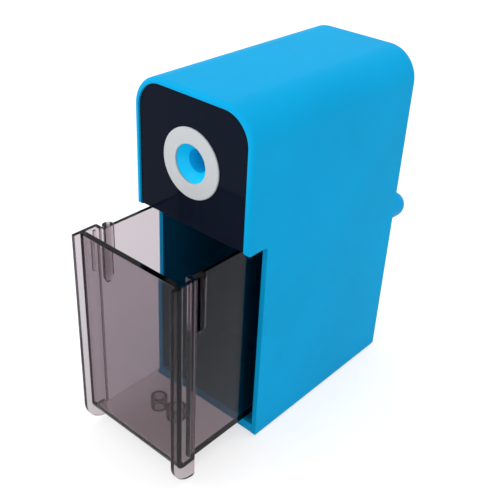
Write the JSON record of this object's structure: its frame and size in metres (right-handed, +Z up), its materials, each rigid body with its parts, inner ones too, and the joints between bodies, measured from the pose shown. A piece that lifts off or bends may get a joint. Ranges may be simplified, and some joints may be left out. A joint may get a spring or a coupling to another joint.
{
  "type": "crank pencil sharpener",
  "caption": "Desktop crank pencil sharpener: round-topped cover, recessed front with a pencil hole, clear pull-out shavings drawer, helical cutter and rear crank.",
  "frame": {"origin": "centre of the non-slip mat's underside, on the table and on the body's middle plane", "axes": "+X to the right as seen by a user facing the pencil hole, +Y from the front to the crank at the back, +Z up"},
  "size_m": [0.052, 0.1563, 0.133],
  "materials": {
    "cover_blue": "satin sky-blue moulding",
    "panel_black": "mirror gloss black",
    "ring_grey": "semi-gloss light grey",
    "funnel_blue": "semi-gloss sky blue",
    "smoke_clear": "clear smoked, polished",
    "mat_rubber": "matt, fine texture",
    "frame_white": "fine moulded texture",
    "gear_ivory": "low friction, satin",
    "carrier_zinc": "die cast, matt",
    "tool_steel": "ground and hardened",
    "bright_steel": "drawn bright",
    "zinc_screw": "zinc plated",
    "spring_steel": "blackened",
    "bronze": "sintered bronze, oiled",
    "crank_blue": "satin sky-blue moulding"
  },
  "bodies": {
    "housing": {"cover_shell": "cover_blue", "front_plate": "panel_black", "entry_ring": "ring_grey", "pencil_funnel": "funnel_blue", "base_plate": "cover_blue", "non_slip_mat": "mat_rubber", "base_screws": "zinc_screw", "rear_panel": "cover_blue", "panel_screws": "zinc_screw", "frame_screws": "zinc_screw", "mechanism_frame": "frame_white", "ring_gear": "gear_ivory", "gear_screws": "zinc_screw", "rear_bush": "bronze", "thrust_washer": "bright_steel"},
    "drawer": {"drawer": "smoke_clear"},
    "crank": {"cutter_carrier": "carrier_zinc", "carrier_shaft": "bright_steel", "cutter_pin": "bright_steel", "cutter_clip": "spring_steel", "crank_arm": "crank_blue", "crank_screw": "zinc_screw", "knob_pin": "bright_steel"},
    "cutter": {"helical_cutter": "tool_steel", "cutter_pinion": "bright_steel"},
    "knob": {"crank_knob": "crank_blue"}
  },
  "joints": [
    {"name": "drawer_slide", "type": "slide", "parent": "housing", "child": "drawer", "axis": [0, -1, 0], "range_m": [-0.03, 0.03]},
    {"name": "crank_turn", "type": "hinge", "parent": "housing", "child": "crank", "pos_m": [0, 0.045, 0.10828], "axis": [0, 1, 0], "continuous": true},
    {"name": "cutter_spin", "type": "hinge", "parent": "crank", "child": "cutter", "pos_m": [0, -0.00582, 0.09728], "axis": [0, 0.9799, 0.1994], "continuous": true},
    {"name": "knob_spin", "type": "hinge", "parent": "crank", "child": "knob", "pos_m": [0.00797, 0.06, 0.05224], "axis": [0, 1, 0], "continuous": true}
  ],
  "couplings": [
    {"joint": "cutter_spin", "follows": "crank_turn", "ratio": -3.2}
  ]
}
